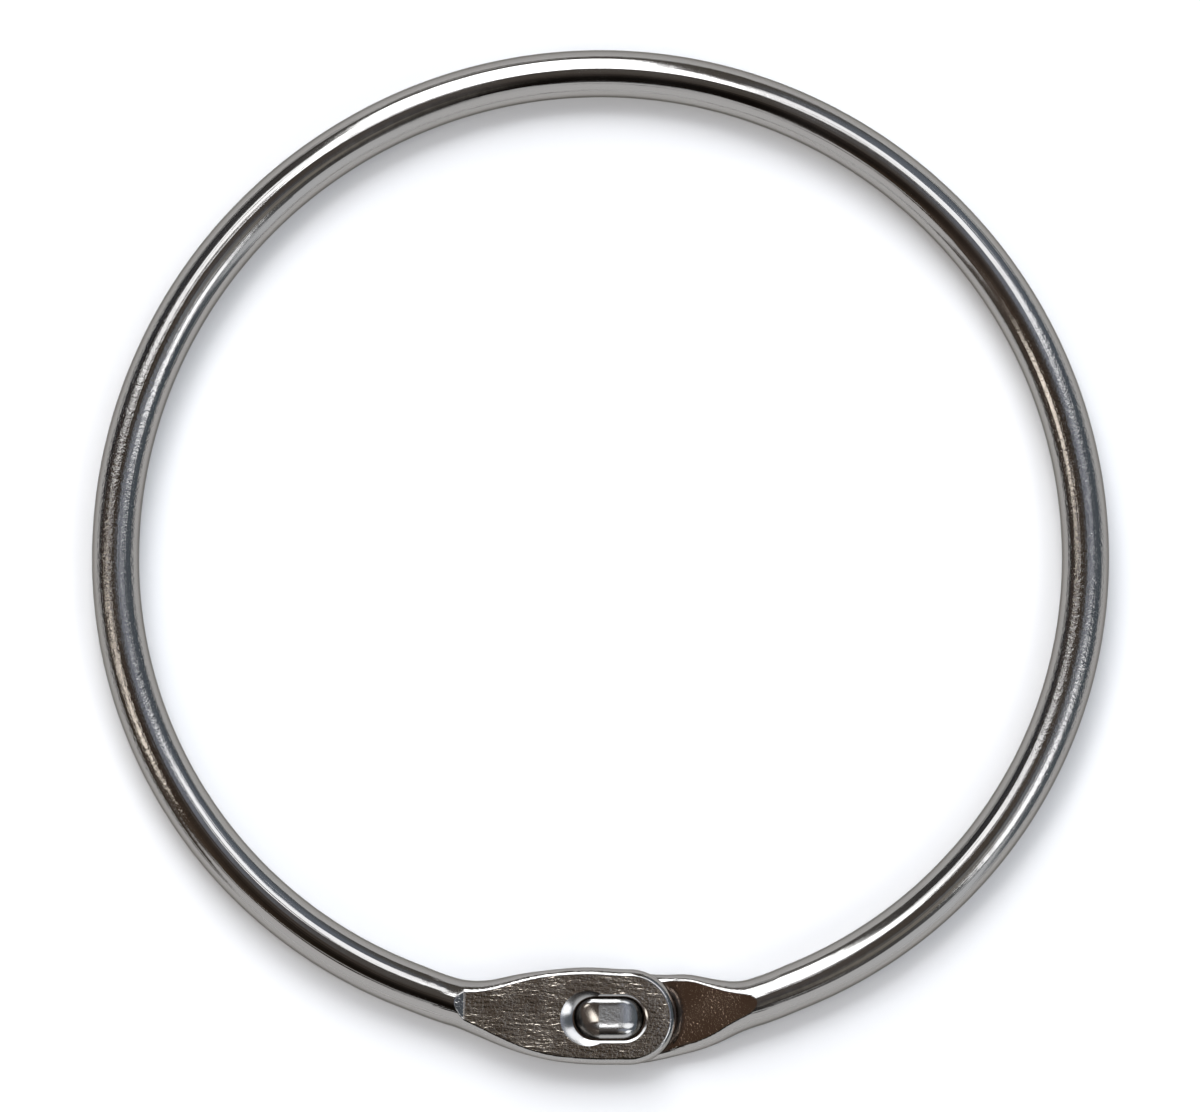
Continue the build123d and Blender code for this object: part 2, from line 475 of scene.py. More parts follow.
@dataclass(frozen=True)
class PressedEnd:
    """One flattened end: a round blank that widens to a paddle, trimmed by two dies, with a round tip."""

    sizes: RingSizes
    end: EndSizes
    # Steps across a face, a flank and a corner, round the tip, and along the run-in and each later stretch
    top_steps: int = 24
    side_steps: int = 16
    corner_steps: int = 4
    tip_steps: int = 72
    run_in_steps: int = 24
    slice_steps: tuple[int, ...] = (10, 22, 32, 26, 10)
    search_rounds: int = 8
    # Stations of the part's lofts, as shares of the ramp and of the flare beyond it
    ramp_shares: tuple[float, ...] = (0.25, 0.5, 0.75, 1.0)
    flare_shares: tuple[float, ...] = (0.5, 1.0)
    # The edges' rounding, and the most of a flank and of a face that it takes
    edge_rounding: float = 0.09
    flank_share: float = 1 / 4
    face_share: float = 1 / 6
    # How far under the wire's crest a corner lies where no die reaches
    crest: float = 0.02
    # How softly each die's slope meets its flat, and how far over its level the outer face counts as flat
    lap_crease: float = 0.35
    face_crease: float = 0.02
    flat_margin: float = 0.012

    @property
    def start_run(self) -> float:
        """Run at which the plain wire ends."""
        return self.end.flare_start + self.sizes.run_in

    @property
    def ramp_end(self) -> float:
        """Run at which the lapped face's ramp reaches the lap."""
        return self.end.flare_start + self.sizes.ramp_lead - self.sizes.ramp_length

    @property
    def tip_run(self) -> float:
        """Run of the middle of the round tip."""
        return self.end.width / 2 - self.end.reach + self.end.side * self.sizes.lock_shift

    @property
    def flare_end(self) -> float:
        """Run at which the paddle has its full width."""
        return self.tip_run + self.end.straight

    @cached_property
    def blank_curve(self) -> ClampedSpline:
        """Half width, top and bottom of the blank along its run, through the part's loft stations."""
        sizes, start = self.sizes, self.end.flare_start
        runs = [start + share * (self.ramp_end - start) for share in self.ramp_shares]
        runs += [self.ramp_end + share * (self.flare_end - self.ramp_end) for share in self.flare_shares]
        radius = sizes.wire_radius
        top = sizes.face_level + sizes.press_allowance
        bottom = sizes.lap_level - sizes.press_allowance
        rows = [(radius, radius, -radius)] * 2
        for run in runs:
            wide = math.sin((start - run) / (start - self.flare_end) * math.pi / 2) ** sizes.flare_power
            thin = min((start - run) / (start - self.ramp_end), 1) ** sizes.flare_power
            rows.append((
                radius + (self.end.width / 2 - radius) * wide,
                radius + (top - radius) * thin,
                -radius + (bottom + radius) * thin,
            ))
        knots = [start + sizes.neck_lead, start, *runs]
        return ClampedSpline(knots[::-1], rows[::-1])

    @cached_property
    def trim_curve(self) -> ClampedSpline:
        """How far the inner and the outer edge stand outside the plain flare along the run."""
        return ClampedSpline([row[0] for row in self.end.trims], [row[1:] for row in self.end.trims])

    def blank(self, run: Points, way: int) -> tuple[Points, Points, Points]:
        """Form of the blank before the dies trim it.

        Args:
            run: Runs from the ring's middle along the centre line.
            way: 1 for the half towards the ring's middle, -1 for the other.

        Returns:
            Half width from the centre line, and the level and radius of the round flank's middle.
        """
        half, top, bottom = self.blank_curve.at(run).T
        inner, outer = self.trim_curve.at(run).T
        radius = self.sizes.wire_radius
        top, bottom = np.minimum(top, radius), np.maximum(bottom, -radius)
        return half + (inner if way > 0 else outer), (top + bottom) / 2, (top - bottom) / 2

    def across(self, run: Points) -> tuple[Points, Points]:
        """Distance of the centre line from the ring's middle along X at a run, and its turn there."""
        middle, radius = self.sizes.quarter_middle(self.end.side), self.sizes.quarter_radius(self.end.side)
        turn = np.maximum(run - middle, 0) / radius
        return np.minimum(run, middle) + radius * np.sin(turn), turn

    def place(self, run: Points, inward: Points, level: Points) -> Points:
        """Points in the ring's frame.

        Args:
            run: Runs from the ring's middle along the centre line.
            inward: Distances from the centre line towards the ring's middle.
            level: Heights over the wire's middle towards the end's outer face.

        Returns:
            One row of X, Y and Z for each.
        """
        side, radius = self.end.side, self.sizes.quarter_radius(self.end.side)
        across, turn = self.across(run)
        return np.stack(
            [
                side * (across - np.sin(turn) * inward),
                np.cos(turn) * (inward - radius),
                self.sizes.wire_radius - side * level,
            ],
            -1,
        )

    def step_to(self, target: float, run: Points, inward: Points) -> Points:
        """One step of the search for the runs at which points stand at a distance along X."""
        across, turn = self.across(run)
        slope = np.cos(turn) * (1 - inward / self.sizes.quarter_radius(self.end.side))
        return run + (target - across + np.sin(turn) * inward) / slope

    def flank(self, target: float, way: int, angle: Points) -> tuple[Points, Points, Points]:
        """Points of one round flank in a slice across the end.

        Args:
            target: The slice's distance from the ring's middle along X.
            way: 1 for the flank towards the ring's middle, -1 for the other.
            angle: Angles on the flank from its middle towards the outer face.

        Returns:
            Run, inward distance and level of each.
        """
        run = np.full(np.shape(angle), target, float)
        for _ in range(self.search_rounds):
            found = run
            half, middle, bend = self.blank(found, way)
            inward = way * (half - bend + bend * np.cos(angle))
            run = self.step_to(target, found, inward)
        return found, inward, middle + bend * np.sin(angle)

    def corner_angle(self, target: float, way: int, up: int) -> float:
        """Angle on a flank at which a die's face meets it, or just beside the crest where no die reaches.

        Args:
            target: The slice's distance from the ring's middle along X.
            way: 1 for the flank towards the ring's middle, -1 for the other.
            up: 1 for the outer face's die, -1 for the lapped face's.

        Returns:
            The angle from the flank's middle towards the outer face.
        """
        angle = np.array([up * math.pi / 4])
        for _ in range(self.search_rounds):
            run, _, _ = self.flank(target, way, angle)
            _, middle, bend = self.blank(run, way)
            level = up * np.minimum(up * self.die_level(target, up), bend + up * middle - self.crest)
            angle = np.arcsin(np.clip((level - middle) / bend, -1, 1))
        return float(angle[0])

    def face_row(self, target: float, first: float, last: float, up: int) -> Points:
        """Points of a pressed face across a slice, or of the blank's crest where no die reaches.

        Args:
            target: The slice's distance along X.
            first: Inward distance of the row's start.
            last: Inward distance of its end.
            up: 1 for the outer face, -1 for the lapped one.

        Returns:
            The row's points, both ends among them.
        """
        inward = np.linspace(first, last, self.top_steps + 1)
        run = np.full(inward.shape, target, float)
        for _ in range(self.search_rounds):
            run = self.step_to(target, run, inward)
        inner, middle, bend = self.blank(run, 1)
        outer, _, _ = self.blank(run, -1)
        out = np.clip(np.maximum(inward - inner, -inward - outer) + bend, 0, bend)
        crest = up * middle + np.sqrt(bend**2 - out**2)
        return self.place(run, inward, up * np.minimum(crest, up * self.die_level(target, up)))

    def ring(self, target: float) -> Points:
        """Outline of the end in a slice across X, after the dies.

        Args:
            target: The slice's distance from the ring's middle along X.

        Returns:
            Points in order: outer face, inner flank, lapped face and outer flank, with rounded corners.
        """
        corners, flanks, rows = {}, {}, {}
        for way in (1, -1):
            high, low = (self.corner_angle(target, way, up) for up in (1, -1))
            run, inward, level = self.flank(target, way, np.array([high, low]))
            _, _, bend = self.blank(run, way)
            soft = np.minimum(self.edge_rounding / bend, (high - low) * self.flank_share)
            angles = np.linspace(high - soft[0], low + soft[1], self.side_steps + 1)
            flanks[way] = self.place(*self.flank(target, way, angles))
            corners[way] = (inward, self.place(run, inward, level))
        for up, k in ((1, 0), (-1, 1)):
            left, right = corners[-1][0][k], corners[1][0][k]
            soft = min(self.edge_rounding, (right - left) * self.face_share)
            rows[up] = self.face_row(target, left + soft, right - soft, up)
        return np.concatenate([
            rows[1][:-1],
            self.corner(rows[1][-1], corners[1][1][0], flanks[1][0]),
            flanks[1][:-1],
            self.corner(flanks[1][-1], corners[1][1][1], rows[-1][-1]),
            rows[-1][:0:-1],
            self.corner(rows[-1][0], corners[-1][1][1], flanks[-1][-1]),
            flanks[-1][:0:-1],
            self.corner(flanks[-1][0], corners[-1][1][0], rows[1][0]),
        ])

    def corner(self, first: Points, peak: Points, last: Points) -> Points:
        """Points of a rounded corner, without its end."""
        share = np.arange(self.corner_steps)[:, None] / self.corner_steps
        return first * (1 - share) ** 2 + peak * 2 * share * (1 - share) + last * share**2

    def die_level(self, target: float, up: int) -> float:
        """Level of a die at a slice: a straight slope into the wire, eased where it meets the flat.

        Args:
            target: The slice's distance from the ring's middle along X.
            up: 1 for the outer face's die, -1 for the lapped face's.

        Returns:
            Its level over the wire's middle, beyond the wire where the die doesn't reach.
        """
        sizes, start = self.sizes, self.end.flare_start
        first = up * sizes.wire_radius
        if up > 0:
            foot, length, last = start + sizes.face_lead, sizes.face_lead_length, sizes.face_level
            crease = self.face_crease
        else:
            foot, length, last = start + sizes.ramp_lead, sizes.ramp_length, sizes.lap_level
            crease = self.lap_crease
        feet, _ = self.across(np.array([foot, foot - length]))
        share = (feet[0] - target) / (feet[0] - feet[1])
        ease = crease / (feet[0] - feet[1])
        if share > 1 - ease:
            share = 1 - max(1 + ease - share, 0) ** 2 / (4 * ease)
        return first + (last - first) * share

    def stations(self) -> list[float]:
        """Distances along X of the slices from the lapped face's foot to the tip."""
        start, sizes = self.end.flare_start, self.sizes
        face_foot = start + sizes.face_lead
        marks = [start + sizes.ramp_lead, face_foot, face_foot - sizes.face_lead_length]
        marks += [self.ramp_end, self.flare_end, self.tip_run]
        runs = [marks[0]]
        for k, count in enumerate(self.slice_steps):
            share = np.arange(1, count + 1) / count
            # The first slices lie closer together at the ramp's foot
            share = share**2 if k == 0 else share
            runs += list(marks[k] + share * (marks[k + 1] - marks[k]))
        return list(self.across(np.array(runs))[0])

    def run_in_rings(self, foot: float, ring: Points) -> list[Points]:
        """Outlines that lead from evenly divided wire to the first slice.

        Args:
            foot: The first slice's distance along X.
            ring: Its outline.

        Returns:
            One outline for each step, the plain wire's end first.
        """
        sizes, side = self.sizes, self.end.side
        middle, radius = sizes.quarter_middle(side), sizes.quarter_radius(side)
        out = side * ring[:, 0] - middle
        turn = np.arctan2(out, -ring[:, 1])
        runs = middle + radius * turn
        inward = radius - np.hypot(out, ring[:, 1])
        level = -side * (ring[:, 2] - sizes.wire_radius)
        count = len(ring)
        even = (np.arange(count) - self.top_steps / 2) * 2 * math.pi / count
        angle = np.unwrap(np.arctan2(inward, level))
        angle += 2 * math.pi * np.round((even - angle).mean() / (2 * math.pi))
        reach = np.hypot(inward, level)
        foot_run = middle + radius * math.asin((foot - middle) / radius)
        outlines = []
        for share in np.arange(self.run_in_steps) / self.run_in_steps:
            ease = smooth(share)
            turned = even + (angle - even) * ease
            far = sizes.wire_radius + (reach - sizes.wire_radius) * ease
            run = self.start_run + (foot_run - self.start_run) * share + (runs - foot_run) * ease
            outlines.append(self.place(run, far * np.sin(turned), far * np.cos(turned)))
        return outlines

    def column_finishes(self, ring: Points) -> list[int]:
        """Finish of each column of faces behind a slice, by which faces the dies have pressed flat.

        Args:
            ring: The slice's outline.

        Returns:
            One finish for each point of the outline.
        """
        levels = self.end.side * (self.sizes.wire_radius - ring[:self.top_steps, 2])
        flat = levels < self.sizes.face_level + self.flat_margin
        top = [Finish.FLAT if pressed else Finish.WIRE for pressed in flat]
        flank = [Finish.WIRE] * (self.side_steps + 2 * self.corner_steps)
        return top + flank + [Finish.RAMP] * self.top_steps + flank

    def build(self) -> MeshParts:
        """Build the whole end as a closed shell, with a cap where the plain wire goes on."""
        parts = MeshParts()
        foot, *targets = self.stations()
        outline = self.ring(foot)
        rings = parts.loft([*self.run_in_rings(foot, outline), outline], Finish.WIRE)
        parts.add_face(rings[0], Finish.CAP)
        last = rings[-1]
        for target in targets:
            outline = self.ring(target)
            ring = parts.add_points(outline)
            parts.bridge(last, ring, self.column_finishes(outline))
            last = ring
        self.add_tip(parts, last)
        return parts

    def add_tip(self, parts: MeshParts, last: Sequence[int]) -> None:
        """Add the round tip: the inner flank turned about the tip's middle, and the two half discs.

        Args:
            parts: The mesh so far.
            last: Numbers of the last slice's points.
        """
        n, corner, flank = self.top_steps, self.corner_steps, self.side_steps
        band = flank + 2 * corner
        inner = list(last[n:n + band + 1])
        outer = [*last[2 * n + band:], last[0]][::-1]
        points = np.concatenate(parts.points)
        half = points[inner]
        axis = (points[last[0]] + points[last[n]]) / 2
        side = self.end.side
        rows = [inner]
        for k in range(1, self.tip_steps):
            turn = math.pi * k / self.tip_steps
            out = half[:, 1] - axis[1]
            row = np.stack([
                half[:, 0] - side * out * math.sin(turn),
                axis[1] + out * math.cos(turn),
                half[:, 2],
            ], -1)
            rows.append(parts.add_points(row))
        rows.append(outer)
        for first, second in zip(rows, rows[1:]):
            parts.bridge(first, second, [Finish.WIRE] * band)
        parts.add_face([*last[:n + 1], *(row[0] for row in rows[1:-1])], Finish.FLAT)
        parts.add_face([*last[n + band:2 * n + band + 1], *(row[-1] for row in rows[-2:0:-1])], Finish.RAMP)


@dataclass(frozen=True)
class Stud:
    """The raised oblong stud of the lock, and the slot and lead-in that it stands in."""

    sizes: RingSizes
    length: float = 5.8
    width: float = 3.4
    proud: float = 0.2
    root: float = 0.6
    # The crown, the slopes at which its two ends start and stop falling, and the left one's twist
    crown_left: float = -0.8
    crown_right: float = 0.6
    left_angles: tuple[float, float] = (18.0, 40.0)
    right_angles: tuple[float, float] = (0.0, 40.0)
    left_twist: float = 0.2
    # The edge, rounder on the lock's outer side, and the dish that leaves a lip along that side
    rounding: float = 0.65
    rounding_skew: float = 0.15
    rounding_drop: float = 0.42
    dish: float = 0.13
    dish_from: float = -0.25
    dish_to: float = -0.95
    # The slot, and its edge in shares of the bevel's width and depth
    clearance: float = 0.13
    slot_bevel: float = 0.17
    slot_bevel_angle: float = 24.0
    slot_edge: tuple[tuple[float, float], ...] = ((0.0, -1.5), (0.12, -1.0), (1.0, -0.06), (1.2, 0.06))
    # The bowl of the lead-in, with the air that its cutter needs over the face
    lead_in_margin: float = 0.45
    lead_in_shift: float = 0.53
    lead_in_slope: float = 14.0
    lead_in_steepening: float = 1.3
    lead_in_run: float = 1.3
    lead_in_air: float = 0.25
    arc_steps: int = 40
    line_steps: int = 24
    edge_steps: int = 14
    bowl_steps: int = 10
    circle_steps: int = 128

    def oblong(self, half_width: float) -> Points:
        """Outline of an oblong round the stud's middle, its straight sides as long as the stud's."""
        half_line = (self.length - self.width) / 2
        line = np.linspace(-half_line, half_line, self.line_steps, endpoint=False)
        arc = np.linspace(-math.pi / 2, math.pi / 2, self.arc_steps, endpoint=False)
        right = np.stack([half_line + half_width * np.cos(arc), half_width * np.sin(arc)], -1)
        low = np.stack([line, np.full_like(line, -half_width)], -1)
        return np.concatenate([low, right, -low, -right])

    def stand(self, outline: Points, level: Points | float) -> Points:
        """Set an outline round the stud's middle at a level over the wire's middle."""
        heights = np.broadcast_to(np.asarray(level, float), (len(outline),))
        x = outline[:, 0] + self.sizes.lock_shift
        y = outline[:, 1] + self.sizes.lock_y
        return np.stack([x, y, heights + self.sizes.wire_radius], -1)

    def fall(self, along: Points, start: float, angles: tuple[float, float]) -> Points:
        """Drop of one end of the stud's top, an arc that starts and ends at given slopes.

        Args:
            along: Distances from the stud's middle towards that end.
            start: Where the arc starts.
            angles: Its slopes at its start and at the stud's end, in degrees.

        Returns:
            How far the top lies below its crown.
        """
        first, last = (math.sin(math.radians(a)) for a in angles)
        arc = (self.length / 2 - start) / (last - first)
        sine = first + np.clip(along - start, 0, self.length / 2 - start) / arc
        return arc * (math.sqrt(1 - first**2) - np.sqrt(1 - sine**2))

    def top_level(self, outline: Points, inset: float) -> Points:
        """Height of the stud's top: a dished crown with a lip, two falling ends and a rounded edge.

        Args:
            outline: Points round the stud's middle.
            inset: Their distance from its wall.

        Returns:
            Levels over the wire's middle.
        """
        along, across = outline.T
        drop = self.fall(-along, -self.crown_left, self.left_angles)
        drop += self.fall(along, self.crown_right, self.right_angles)
        drop -= self.left_twist * across * np.maximum(self.crown_left - along, 0)
        rounding = self.rounding - self.rounding_skew * across / (self.width / 2)
        soft = np.clip(1 - inset / rounding, 0, 1)
        drop += self.rounding_drop * (1 - np.sqrt(1 - soft**2))
        lip = np.clip((across - self.dish_to) / (self.dish_from - self.dish_to), 0, 1)
        drop += self.dish * smooth(lip)
        return self.sizes.face_level + self.proud - drop

    def build(self) -> MeshParts:
        """Build the stud as a closed shell whose root lies inside the stud end's paddle."""
        half = self.width / 2
        wide = self.rounding + self.rounding_skew
        turns = np.linspace(0, math.pi / 2, self.edge_steps + 1)
        insets = [*(wide * (1 - np.cos(turns))), *np.linspace(wide, half, self.edge_steps)[1:]]
        outlines = [self.stand(self.oblong(half), -self.sizes.lap_level - self.root)]
        for inset in insets:
            outline = self.oblong(half - inset)
            outlines.append(self.stand(outline, self.top_level(outline, inset)))
        # The last outline has no width, so that it closes the top by itself
        parts = MeshParts()
        loops = parts.loft(outlines, Finish.LOCK)
        parts.add_face(loops[0][::-1], Finish.LOCK)
        return parts

    def cutter(self, outlines: Sequence[Points]) -> MeshParts:
        """Close a row of outlines into a tool."""
        parts = MeshParts()
        loops = parts.loft(outlines, Finish.LOCK)
        parts.add_face(loops[0][::-1], Finish.LOCK)
        parts.add_face(loops[-1], Finish.LOCK)
        return parts

    def slot_cutter(self) -> MeshParts:
        """Build the tool that pierces the slot and rounds its edge on the outer face."""
        half, face = self.width / 2 + self.clearance, self.sizes.face_level
        depth = self.slot_bevel * math.tan(math.radians(self.slot_bevel_angle))
        steps = [(0.0, -self.sizes.wire_radius - face)]
        steps += [(wide * self.slot_bevel, deep * depth) for wide, deep in self.slot_edge]
        return self.cutter([self.stand(self.oblong(half + out), face + up) for out, up in steps])

    def lead_in_cutter(self) -> MeshParts:
        """Build the tool that sinks the round lead-in beside the slot's far end."""
        radius = self.width / 2 + self.clearance + self.lead_in_margin
        centre = np.array([-(self.length - self.width) / 2 - self.lead_in_shift, 0.0])
        slope = math.tan(math.radians(self.lead_in_slope))
        around = np.linspace(0, 2 * math.pi, self.circle_steps, endpoint=False)
        circle = np.stack([np.cos(around), np.sin(around)], -1)
        profile = [(radius + self.lead_in_air, self.lead_in_air * slope)]
        for inward in np.linspace(0, self.lead_in_run, self.bowl_steps + 1):
            deep = slope * inward * (1 + self.lead_in_steepening * inward / 2)
            profile.append((radius - inward, -deep))
        face = self.sizes.face_level
        return self.cutter([self.stand(circle * r + centre, face + up) for r, up in profile])


def metal(name: str, base: str, edge: str) -> tuple[bpy.types.Material, bpy.types.Node]:
    """Start a metal material.

    Args:
        name: Name of the material.
        base: Its sRGB hex colour.
        edge: The tint that it takes at grazing angles.

    Returns:
        The material and its shader.
    """
    material = bpy.data.materials.new(name)
    material.use_nodes = True
    shader = material.node_tree.nodes["Principled BSDF"]
    shader.inputs["Metallic"].default_value = 1.0
    shader.inputs["Base Color"].default_value = to_linear(base)
    shader.inputs["Specular Tint"].default_value = to_linear(edge)
    return material, shader


def stretch(
    tree: bpy.types.NodeTree, where: bpy.types.NodeSocket, factors: tuple[float, float, float]
) -> bpy.types.NodeSocket:
    """Coordinates times a factor along each axis."""
    return add_node(tree, "ShaderNodeVectorMath", {0: where, 1: factors}, operation="MULTIPLY").outputs[0]


def remap(
    tree: bpy.types.NodeTree,
    value: bpy.types.NodeSocket,
    source: tuple[float, float],
    target: tuple[float, float],
) -> bpy.types.NodeSocket:
    """Smooth step of a value from one range to another.

    Args:
        tree: The node tree that takes it.
        value: The value.
        source: The range that it is read over.
        target: The range that it is turned into.

    Returns:
        The new value.
    """
    inputs = {"Value": value, "From Min": source[0], "From Max": source[1]}
    inputs |= {"To Min": target[0], "To Max": target[1]}
    return add_node(tree, "ShaderNodeMapRange", inputs, interpolation_type="SMOOTHSTEP").outputs["Result"]


@dataclass(frozen=True)
class Pattern:
    """A noise pattern of a finish.

    Its sizes are the width of a spot and the height that the noise's whole range stands for, in
    millimetres. Detail and breakup are the number and the strength of its finer layers.
    """

    width: float
    height: float = 0.0
    detail: float = 2.0
    breakup: float = 0.5
    spots_in_period: int = 2

    def noise(
        self, tree: bpy.types.NodeTree, where: bpy.types.NodeSocket, output: str = "Fac"
    ) -> bpy.types.NodeSocket:
        """Add the noise.

        Args:
            tree: The node tree that takes it.
            where: Coordinates in metres.
            output: Name of the output to read.

        Returns:
            The noise, from 0 to 1.
        """
        inputs = {"Vector": where, "Scale": 1 / (self.spots_in_period * self.width * MM)}
        inputs |= {"Detail": self.detail, "Roughness": self.breakup}
        return add_node(tree, "ShaderNodeTexNoise", inputs).outputs[output]

    def bump(
        self,
        tree: bpy.types.NodeTree,
        where: bpy.types.NodeSocket,
        under: bpy.types.NodeSocket | None = None,
        strength: bpy.types.NodeSocket | float = 1.0,
    ) -> bpy.types.NodeSocket:
        """Add the noise as a bump.

        Args:
            tree: The node tree that takes it.
            where: Coordinates in metres.
            under: The bump that it lies on, if there is one.
            strength: Its share of the full height.

        Returns:
            The bumped normal.
        """
        inputs = {"Height": self.noise(tree, where), "Distance": self.height * MM, "Strength": strength}
        if under is not None:
            inputs["Normal"] = under
        return add_node(tree, "ShaderNodeBump", inputs).outputs["Normal"]


@dataclass(frozen=True)
class DrawnNickelWire:
    """Bright nickel plated on drawn spring steel.

    To the eye it is a mirror with fine lines along the wire and a slight peel, which grows towards the
    ring's left and right.
    """

    name: str = "bright_nickel_on_drawn_wire"
    base: str = "#979490"
    edge: str = "#ABA8A4"
    roughness: float = 0.12
    wear: Pattern = Pattern(7.0, detail=3.0)
    wear_shares: tuple[float, float] = (0.7, 1.4)
    lines: Pattern = Pattern(0.1, 0.016, breakup=0.6)
    line_length: float = 14.0
    wave: Pattern = Pattern(0.6, 0.01, detail=1.0)
    # A spot of the peel is about two pixels wide in the final render: real peel is finer
    peel: Pattern = Pattern(0.16, 0.044, detail=3.0, breakup=0.7)
    # Where the peel grows, by distance from the ring's middle along X, and its shares there
    peel_range: tuple[float, float] = (31.0, 41.0)
    peel_shares: tuple[float, float] = (0.05, 1.0)

    def build(self) -> bpy.types.Material:
        """Build the material."""
        material, shader = metal(self.name, self.base, self.edge)
        tree = material.node_tree
        # Lines of the drawing die, stretched along the wire
        grain = add_node(tree, "ShaderNodeAttribute", attribute_name="grain").outputs["Vector"]
        drawn = stretch(tree, grain, (MM * self.lines.width / self.line_length, MM, MM))
        place = add_node(tree, "ShaderNodeTexCoord").outputs["Object"]
        across = add_node(tree, "ShaderNodeSeparateXYZ", {0: place}).outputs["X"]
        away = add_node(tree, "ShaderNodeMath", {0: across}, operation="ABSOLUTE").outputs[0]
        near, far = self.peel_range
        peeled = remap(tree, away, (near * MM, far * MM), self.peel_shares)
        low, high = self.wear_shares
        wear = self.wear.noise(tree, place)
        rough = remap(tree, wear, NOISE_RANGE, (self.roughness * low, self.roughness * high))
        tree.links.new(rough, shader.inputs["Roughness"])
        waved = self.wave.bump(tree, place, self.lines.bump(tree, drawn))
        tree.links.new(self.peel.bump(tree, place, waved, peeled), shader.inputs["Normal"])
        return material


@dataclass(frozen=True)
class TumbledNickelFlat:
    """Nickel on die-pressed flats, dulled by tumbling.

    To the eye it is darker than the wire, with short swaying strokes and pits that catch the light.
    """

    name: str = "tumbled_nickel_on_pressed_flats"
    base: str = "#AEA497"
    edge: str = "#B0A89E"
    roughness: float = 0.2
    run_out_roughness: float = 0.12
    wear: Pattern = Pattern(1.6, detail=3.0)
    wear_shares: tuple[float, float] = (0.8, 1.25)
    # Real strokes are some hundredths of a millimetre wide: these are as wide as they need to be to show
    strokes: Pattern = Pattern(0.13, 0.128, breakup=0.6)
    stroke_length: float = 0.7
    # The height of this one is how far it moves the strokes sideways
    sway: Pattern = Pattern(1.1, 0.7)
    pits: Pattern = Pattern(0.11, 0.022, detail=1.0)

    def build(self) -> bpy.types.Material:
        """Build the material."""
        material, shader = metal(self.name, self.base, self.edge)
        tree = material.node_tree
        place = add_node(tree, "ShaderNodeTexCoord").outputs["Object"]
        # Strokes along the ring, their course swayed by a slower noise
        swayed = add_node(
            tree,
            "ShaderNodeVectorMath",
            {0: self.sway.noise(tree, place, "Color"), 1: (self.sway.height * MM,) * 3, 2: place},
            operation="MULTIPLY_ADD",
        ).outputs[0]
        drawn = stretch(tree, swayed, (self.strokes.width / self.stroke_length, 1.0, 1.0))
        # Where a die runs out into the wire the flat is still as smooth as the wire
        pressed = add_node(tree, "ShaderNodeAttribute", attribute_name="pressed").outputs["Fac"]
        wear = self.wear.noise(tree, place)
        low, high = self.wear_shares
        worn = remap(tree, wear, NOISE_RANGE, (self.roughness * low, self.roughness * high))
        rough = add_node(
            tree, "ShaderNodeMapRange", {"Value": pressed, "To Min": self.run_out_roughness, "To Max": worn}
        ).outputs["Result"]
        tree.links.new(rough, shader.inputs["Roughness"])
        uneven = add_node(tree, "ShaderNodeMath", {0: pressed, 1: wear}, operation="MULTIPLY").outputs[0]
        pitted = self.pits.bump(tree, place, strength=pressed)
        tree.links.new(self.strokes.bump(tree, drawn, pitted, uneven), shader.inputs["Normal"])
        return material


@dataclass(frozen=True)
class RubbedNickelLock:
    """Nickel on the stud and in the slot.

    To the eye it is rubbed bright by use, but pitted and dull on the stud's crown.
    """

    name: str = "rubbed_nickel_in_lock"
    base: str = "#9C9A97"
    edge: str = "#B0AEAB"
    roughness: float = 0.19
    scuffed_roughness: float = 0.38
    wave: Pattern = Pattern(0.45, 0.008, detail=1.0)
    pits: Pattern = Pattern(0.13, 0.05, breakup=0.6)

    def build(self) -> bpy.types.Material:
        """Build the material."""
        material, shader = metal(self.name, self.base, self.edge)
        tree = material.node_tree
        place = add_node(tree, "ShaderNodeTexCoord").outputs["Object"]
        scuff = add_node(tree, "ShaderNodeAttribute", attribute_name="scuff").outputs["Fac"]
        rough = remap(tree, scuff, (0.0, 1.0), (self.roughness, self.scuffed_roughness))
        tree.links.new(rough, shader.inputs["Roughness"])
        pitted = self.pits.bump(tree, place, self.wave.bump(tree, place), scuff)
        tree.links.new(pitted, shader.inputs["Normal"])
        return material


